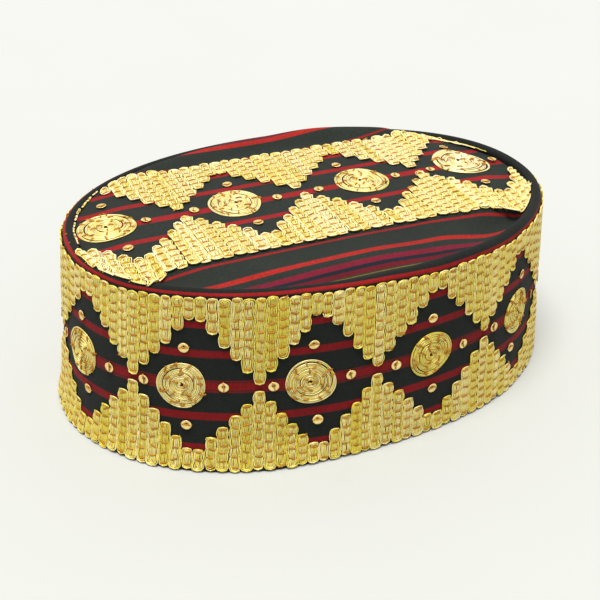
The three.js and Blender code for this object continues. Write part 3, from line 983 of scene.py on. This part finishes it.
def rosette_paths(radius, centre, place, loose):
    """The coil and its stitches: a spiral with an uneven, hand-laid outline."""
    turns = (radius - COIL_PAIR - COIL_THREAD_RADIUS) / COIL_PITCH
    phase = hand.uniform(0, 2 * np.pi)
    oval = hand.uniform(*COIL_OVAL)
    length = np.pi * radius * turns
    angle = 2 * np.pi * turns * np.sqrt(np.linspace(COIL_EYE, 1, int(length / COIL_STEP)))
    tail = COIL_TAIL * ease(angle, angle[-1] - COIL_TAIL_RUN, angle[-1])
    far = COIL_PITCH * angle / (2 * np.pi) - tail
    wobble = 1 + oval * np.cos(2 * angle + phase) + COIL_THREE_SIDED * np.cos(3 * angle + 2 * phase)
    starts = hand.uniform(0, ANY_PHASE, len(COIL_DRIFTS))
    for drift, start in zip(COIL_DRIFTS, starts):
        wobble = wobble + loose * drift["size"] * np.sin(drift["rate"] * angle + start)
    coil = []
    for side in (-1, 1):
        reach = np.maximum(0, far * wobble + side * COIL_PAIR)
        sideways = centre[0] + reach * np.cos(angle + phase)
        lengthwise = centre[1] + reach * np.sin(angle + phase)
        ripple = SLOW_RIPPLE["size"] * np.sin(SLOW_RIPPLE["rate"] * angle + phase + side)
        ripple = ripple + QUICK_RIPPLE["size"] * np.sin(QUICK_RIPPLE["rate"] * angle + starts[0])
        rise = COIL_RISE + COIL_DOME * (1 - (far / radius) ** 2) + ripple
        coil.append(thread_path(place, sideways, lengthwise, rise))
    stitches = []
    for index in range(COIL_STITCHES):
        away = radius * math.sqrt((index + COIL_STITCH_START) / COIL_STITCHES)
        round_angle = index * COIL_STITCH_TURN + hand.normal(0, COIL_STITCH_SPREAD)
        half = hand.uniform(*COIL_STITCH_HALVES)
        share = np.linspace(-1, 1, STITCH_POINTS)
        turned = round_angle + hand.normal(0, COIL_STITCH_SKEW)
        middle = min(away, radius - COIL_STITCH_INSET)
        threads_top = COIL_RISE + COIL_DOME * (1 - (away / radius) ** 2) + COIL_THREAD_RADIUS
        height = threads_top + COIL_STITCH_LIFT - COIL_STITCH_DIP * share**6
        across = centre[0] + middle * math.cos(round_angle) + half * share * math.cos(turned)
        along = centre[1] + middle * math.sin(round_angle) + half * share * math.sin(turned)
        stitches.append(thread_path(place, across, along, height))
    return coil, stitches


# The wall's rosettes are tinted deeper than the top's: painted shade on the wall, painted light on the
# top.
rosettes = [
    {
        "node": f"wall_rosette_{index + 1:02d}",
        "radius": WALL_ROSETTE_RADIUS,
        "centre": (arc, WALL_ROSETTE_HEIGHT),
        "place": on_wall,
        "loose": 1.3,
        "shade_and_tarnish": 0.45,
    }
    for index, arc in enumerate(places_round("rosette"))
]
rosettes += [
    {
        "node": f"crown_rosette_{index + 1}",
        "radius": coil["radius"],
        "centre": (coil["x"], coil["y"]),
        "place": on_crown,
        "loose": 1.7,
        "shade_and_tarnish": 0.0,
    }
    for index, coil in enumerate(CROWN_ROSETTES)
]
coil_stitches = []
for rosette in rosettes:
    coil, stitches = rosette_paths(
        rosette["radius"], rosette["centre"], rosette["place"], rosette["loose"]
    )
    coil_stitches += stitches
    mesh = tube_mesh(rosette["node"], coil, COIL_THREAD_RADIUS, False, shade_and_tarnish=rosette["shade_and_tarnish"])
    coiled = link_object(rosette["node"] + "_coil", mesh, gold)
    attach(coiled, "root")
    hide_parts(rosette["node"])
mesh = tube_mesh("rosette_couching", coil_stitches, COIL_STITCH_RADIUS, False, COIL_STITCH_FLATTEN)
rosette_couching = link_object("rosette_couching", mesh, amber)
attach(rosette_couching, "root")

# Sequins: small cupped discs of gilt foil with a hole in the middle, each held by one amber stitch.
# They stand above, below and to either side of every rosette.

SEQUIN_RADIUS = 0.0021
SEQUIN_SIDES = 18
SEQUIN_TILT = 0.06
SEQUIN_LIFT = 0.0002
FOIL_BRIGHT = (0.97, 0.82, 0.38, 1)
FOIL_DULL = (0.72, 0.52, 0.15, 1)
SEQUIN_SECTION = [
    (0.00050, 0.00020),
    (0.00120, 0.00028),
    (0.00195, 0.00056),
    (0.00210, 0.00060),
    (0.00202, 0.00070),
    (0.00120, 0.00040),
    (0.00050, 0.00032),
]

# Where they sit: from a rosette's middle on the wall, along and up, and on the top by x and the distance
# from the middle line
SEQUIN_SIDE = 0.016
WALL_SEQUINS = [(0, 0.0168), (0, -0.0176), (-SEQUIN_SIDE, 0), (SEQUIN_SIDE, 0)]
FRONT_SEQUINS = [
    [(0.0002, 0.0168), (0.0045, -0.0154), (-0.0160, 0.0), (0.0169, 0.0002)],
    [(0.0008, 0.0168), (0.0021, -0.0181), (-0.0153, -0.0002), (0.0163, 0.0)],
    [(0.0010, 0.0168), (0.0033, -0.0179), (-0.0145, -0.0002), (0.0165, 0.0004)],
    [(0.0, 0.0168), (0.0012, -0.0167), (-0.0167, -0.0002), (0.0166, -0.0006)],
    [(0.0028, 0.0170), (-0.0040, -0.0165), (-0.0180, 0.0003), (0.0165, 0.0)],
]
CROWN_SEQUINS = [
    (-0.0722, -0.0002), (-0.0510, 0.0006), (-0.0140, -0.0014), (0.0059, -0.0010), (0.0438, -0.0014),
    (0.0618, -0.0018), (0.0972, 0.0010),
    (-0.0857, -0.0197), (-0.0305, -0.0199), (0.0238, -0.0205), (0.0795, -0.0205),
    (-0.0853, 0.0203), (-0.0293, 0.0184), (0.0240, 0.0184), (0.0815, 0.0190),
]
ON_MIDDLE_LINE = 0.005


def gilt_foil():
    """Thin stamped foil, bright and a little dented."""
    material, tree, shader = new_material("gilt_foil")
    place = add_node(tree, "ShaderNodeTexCoord").outputs["Object"]
    dents = add_node(tree, "ShaderNodeTexNoise", {"Vector": place, "Scale": 700, "Detail": 2})
    colour = mix_colours(tree, dents.outputs["Fac"], FOIL_BRIGHT, FOIL_DULL)
    bump = add_node(
        tree, "ShaderNodeBump", {"Height": dents.outputs["Fac"], "Strength": 0.3, "Distance": 0.0004}
    )
    tree.links.new(colour, shader.inputs["Base Color"])
    tree.links.new(bump.outputs["Normal"], shader.inputs["Normal"])
    shader.inputs["Metallic"].default_value = 0.7
    shader.inputs["Roughness"].default_value = 0.28
    return material


sequin_places = []
for index, rosette in enumerate(rosettes[:WALL_REPEATS]):
    around = FRONT_SEQUINS[index] if index < len(FRONT_SEQUINS) else WALL_SEQUINS
    for sideways, rise in around:
        spot = (rosette["centre"][0] + sideways, rosette["centre"][1] + rise)
        sequin_places.append({"spot": spot, "place": on_wall, "upright": abs(sideways) > abs(rise)})
for x, offset in CROWN_SEQUINS:
    spot = (x, CROWN_CENTRE + offset)
    sequin_places.append({"spot": spot, "place": on_crown, "upright": abs(offset) < ON_MIDDLE_LINE})


def sequin_mesh():
    """The cupped section spun round and set down, a little tilted, at every place."""
    build = bmesh.new()
    for sequin in sequin_places:
        section = [build.verts.new((radius, 0, rise)) for radius, rise in SEQUIN_SECTION]
        edges = [build.edges.new(pair) for pair in zip(section, section[1:] + section[:1])]
        before = set(build.verts) - set(section)
        bmesh.ops.spin(
            build, geom=section + edges, cent=(0, 0, 0), axis=(0, 0, 1), angle=2 * math.pi,
            steps=SEQUIN_SIDES, use_merge=True,
        )
        tilt_x, tilt_y = hand.normal(0, SEQUIN_TILT, 2)
        for corner in set(build.verts) - before:
            x, y, z = corner.co
            rise = z + x * tilt_x + y * tilt_y + SEQUIN_LIFT
            corner.co = sequin["place"](sequin["spot"][0] + x, sequin["spot"][1] + y, rise)
    bmesh.ops.remove_doubles(build, verts=build.verts, dist=1e-7)
    bmesh.ops.recalc_face_normals(build, faces=build.faces)
    mesh = bpy.data.meshes.new("sequins")
    build.to_mesh(mesh)
    build.free()
    return mesh


sequins = link_object("sequins", sequin_mesh(), gilt_foil())
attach(sequins, "root")

# The stitch of a sequin follows its cup from rim to rim and dips into the cloth at both ends
SEQUIN_STITCH_RADIUS = 0.00028
SEQUIN_STITCH_POINTS = 7
SEQUIN_STITCH_REACH = SEQUIN_RADIUS * 1.05
SEQUIN_STITCH_SKEW = 0.12
SEQUIN_STITCH_RISE = 0.00075
SEQUIN_STITCH_CUP = 0.0005
SEQUIN_STITCH_DIP = 0.0009

sequin_stitches = []
for sequin in sequin_places:
    share = np.linspace(-1, 1, SEQUIN_STITCH_POINTS)
    reach = SEQUIN_STITCH_REACH * share
    skew = hand.normal(0, SEQUIN_STITCH_SKEW)
    across = reach * math.sin(skew) if sequin["upright"] else reach * math.cos(skew)
    along = reach * math.cos(skew) if sequin["upright"] else reach * math.sin(skew)
    rise = SEQUIN_STITCH_RISE + SEQUIN_STITCH_CUP * share**2 - SEQUIN_STITCH_DIP * share**8
    spot_x, spot_y = sequin["spot"]
    sequin_stitches.append(thread_path(sequin["place"], spot_x + across, spot_y + along, rise))
mesh = tube_mesh("sequin_stitches", sequin_stitches, SEQUIN_STITCH_RADIUS, False)
sequin_threads = link_object("sequin_stitches", mesh, amber)
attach(sequin_threads, "root")

# Seam fringe: ends of the gold laid along the crown's seam, with the amber whipping of the rim.
# They show as short loops at the left end and as loose strands behind the right end, close to the roll.

FRINGE_RUN = {"from": -0.245, "to": -0.340, "bundles": 9, "share": 0.95}
FRINGE_LAY = {"fill": 1.0, "pinch": 0.06, "swell": 0.0002, "end_round": 0.8, "loops": 1, "steps": 4}
FRINGE_INSET = 0.0044
FRINGE_WIDTH = 0.0007
FRINGE_LENGTHS = (0.7, 1.05)
FRINGE_WIDTHS = (0.8, 1.4)
FRINGE_STITCH_SLANT = 0.0004
SEAM_STRANDS = [
    {"inset": 0.0045, "from": 0.372, "to": 0.281},
    {"inset": 0.0051, "from": 0.368, "to": 0.293},
    {"inset": 0.0057, "from": 0.366, "to": 0.308},
    {"inset": 0.0063, "from": 0.364, "to": 0.326},
    {"inset": 0.0069, "from": 0.362, "to": 0.338},
]
STRAND_STEP = 0.0015
STRAND_RISE = LAY_HEIGHT + 0.0002
WHIPPING_TURNS = (-0.335, -0.165)
WHIPPING_COUNT = 9
WHIPPING_POINTS = 5
WHIPPING_SPREAD = 0.0030
WHIPPING_HALF = 0.0005
WHIPPING_INSET = 0.0009
WHIPPING_RISE = 0.0001
WHIPPING_RADIUS = STITCH_RADIUS * 0.5
WHIPPING_FLATTEN = 0.8


def on_seam(inset, arc, up):
    """A place along the crown's seam, by its distance in from the rim and the way round."""
    turn = np.asarray(arc) / rim.perimeter
    x, y = rim.point(turn)
    normal_x, normal_y = rim.outward(turn)
    return on_crown(x - inset * normal_x, y - inset * normal_y, up)


fringe_loops = []
fringe_stitches = []
edges = np.linspace(FRINGE_RUN["from"], FRINGE_RUN["to"], FRINGE_RUN["bundles"] + 1) * rim.perimeter
for start, end in zip(edges, edges[1:]):
    middle = (start + end) / 2
    half = abs(end - start) / 2 * FRINGE_RUN["share"] * hand.uniform(*FRINGE_LENGTHS)
    width = FRINGE_WIDTH * hand.uniform(*FRINGE_WIDTHS)
    bundle = {
        "middle": FRINGE_INSET,
        "width": width,
        "low": middle - half,
        "high": middle + half,
        "stitches": np.array([middle]),
    }
    fringe_loops += column_loops(bundle, on_seam, FRINGE_LAY)
    stitch = stitch_path(FRINGE_INSET, middle, width / 2, FRINGE_STITCH_SLANT, width, on_seam)
    fringe_stitches.append(stitch)

strands = []
for strand in SEAM_STRANDS:
    length = abs(strand["to"] - strand["from"]) * rim.perimeter
    arc = np.linspace(strand["from"], strand["to"], round(length / STRAND_STEP)) * rim.perimeter
    inset = strand["inset"] + hand.normal(0, HAND_LEAN, len(arc))
    rise = STRAND_RISE + hand.normal(0, LOOP_RISE, len(arc))
    strands.append(thread_path(on_seam, inset, arc, rise))
mesh = tube_mesh("seam_strands", strands, THREAD_RADIUS, False)
seam_strands = link_object("seam_strands", mesh, gold)
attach(seam_strands, "root")

mesh = tube_mesh("seam_fringe", fringe_loops, THREAD_RADIUS, True)
fringe = link_object("seam_fringe", mesh, gold)
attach(fringe, "root")

for turn in np.linspace(*WHIPPING_TURNS, WHIPPING_COUNT):
    share = np.linspace(-1, 1, WHIPPING_POINTS)
    arc = turn * rim.perimeter + hand.normal(0, WHIPPING_SPREAD) + WHIPPING_HALF * share
    inset = WHIPPING_INSET + WHIPPING_HALF * share
    fringe_stitches.append(thread_path(on_seam, inset, arc, WHIPPING_RISE))
mesh = tube_mesh("rim_edging", fringe_stitches, WHIPPING_RADIUS, False, WHIPPING_FLATTEN)
rim_edging = link_object("rim_edging", mesh, amber)
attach(rim_edging, "root")

# Stage: a plain floor of pale paper under the cap, in soft studio light from above.
# The camera stands where the photograph was taken from.

FLOOR_SIZE = 8.0
PAPER_DARK = (0.402, 0.407, 0.385, 1)
PAPER_LIGHT = (0.414, 0.419, 0.397, 1)
STUDIO_WHITE = (1.0, 0.995, 0.97, 1)
STUDIO_STRENGTH = 0.9
LAMP_STRENGTH = 4.3
LAMP_ANGLE = math.radians(30)
LAMP_TILT = (math.radians(8), math.radians(-10), 0)
CAMERA_AZIMUTH = math.radians(-25.35)
CAMERA_ELEVATION = math.radians(31.71)
CAMERA_ROLL = math.radians(1.27)
CAMERA_DISTANCE = 0.48433
CAMERA_TARGET = np.array([-0.00367, 0.00179, 0.02726])
FOCAL_PIXELS = 1061.5
IMAGE_PIXELS = 600
SENSOR = 36.0


def floor_paper():
    """Matt pale paper, almost even."""
    material, tree, shader = new_material("floor_paper")
    place = add_node(tree, "ShaderNodeTexCoord").outputs["Object"]
    tone = add_node(tree, "ShaderNodeTexNoise", {"Vector": place, "Scale": 6, "Detail": 2})
    colour = mix_colours(tree, tone.outputs["Fac"], PAPER_DARK, PAPER_LIGHT)
    tree.links.new(colour, shader.inputs["Base Color"])
    shader.inputs["Roughness"].default_value = 0.9
    return material


build = bmesh.new()
bmesh.ops.create_grid(build, x_segments=1, y_segments=1, size=FLOOR_SIZE / 2)
mesh = bpy.data.meshes.new("floor")
build.to_mesh(mesh)
build.free()
floor = link_object("floor", mesh, floor_paper())

world = bpy.data.worlds.new("studio")
world.use_nodes = True
sky = world.node_tree.nodes["Background"]
sky.inputs["Color"].default_value = STUDIO_WHITE
sky.inputs["Strength"].default_value = STUDIO_STRENGTH
bpy.context.scene.world = world
bpy.context.scene.view_settings.view_transform = "Standard"

overhead = bpy.data.lights.new("overhead_lamp", "SUN")
overhead.energy = LAMP_STRENGTH
overhead.angle = LAMP_ANGLE
overhead_lamp = bpy.data.objects.new("overhead_lamp", overhead)
bpy.context.scene.collection.objects.link(overhead_lamp)
overhead_lamp.rotation_euler = LAMP_TILT

lens = bpy.data.cameras.new("photo_camera")
lens.sensor_width = SENSOR
lens.lens = FOCAL_PIXELS * SENSOR / IMAGE_PIXELS
camera = bpy.data.objects.new("photo_camera", lens)
bpy.context.scene.collection.objects.link(camera)
bpy.context.scene.camera = camera
back = np.array([
    math.sin(CAMERA_AZIMUTH) * math.cos(CAMERA_ELEVATION),
    -math.cos(CAMERA_AZIMUTH) * math.cos(CAMERA_ELEVATION),
    math.sin(CAMERA_ELEVATION),
])
level = np.array([math.cos(CAMERA_AZIMUTH), math.sin(CAMERA_AZIMUTH), 0])
upright = np.cross(back, level)
right = level * math.cos(CAMERA_ROLL) + upright * math.sin(CAMERA_ROLL)
up = -level * math.sin(CAMERA_ROLL) + upright * math.cos(CAMERA_ROLL)
facing = Matrix(np.stack([right, up, back], axis=1).tolist()).to_4x4()
camera.matrix_world = Matrix.Translation(CAMERA_TARGET + back * CAMERA_DISTANCE) @ facing
